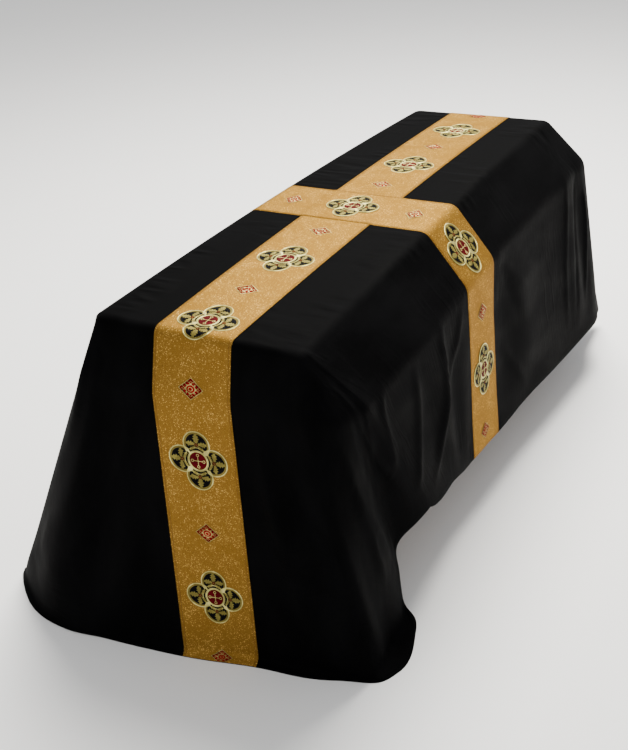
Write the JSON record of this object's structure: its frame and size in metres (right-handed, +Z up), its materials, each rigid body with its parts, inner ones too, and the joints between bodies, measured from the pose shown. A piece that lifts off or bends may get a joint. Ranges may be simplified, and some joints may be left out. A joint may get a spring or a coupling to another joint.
{
  "type": "funeral pall over a coffin on a bier",
  "caption": "Long cloth with rounded corners, draped over a coffin on a low bier, its near end on the floor, with a gold band along it and a gold band across it.",
  "frame": {"origin": "on the floor under the middle of the coffin, at the bier's base", "axes": "+Z up, +Y along the coffin from the near end, whose hem reaches the floor, to the far end, +X to the right side"},
  "size_m": [1.1732, 2.2867, 0.9109],
  "materials": {
    "pall_cloth": "black velvet with a soft sheen",
    "band": "gold brocade with a metallic thread and woven motifs",
    "coffin": "dark varnished wood",
    "bier": "plain satin wood"
  },
  "bodies": {
    "root": {"pall_cloth": "pall_cloth", "long_band": "band", "cross_band": "band", "coffin": "coffin", "bier": "bier"}
  },
  "joints": []
}
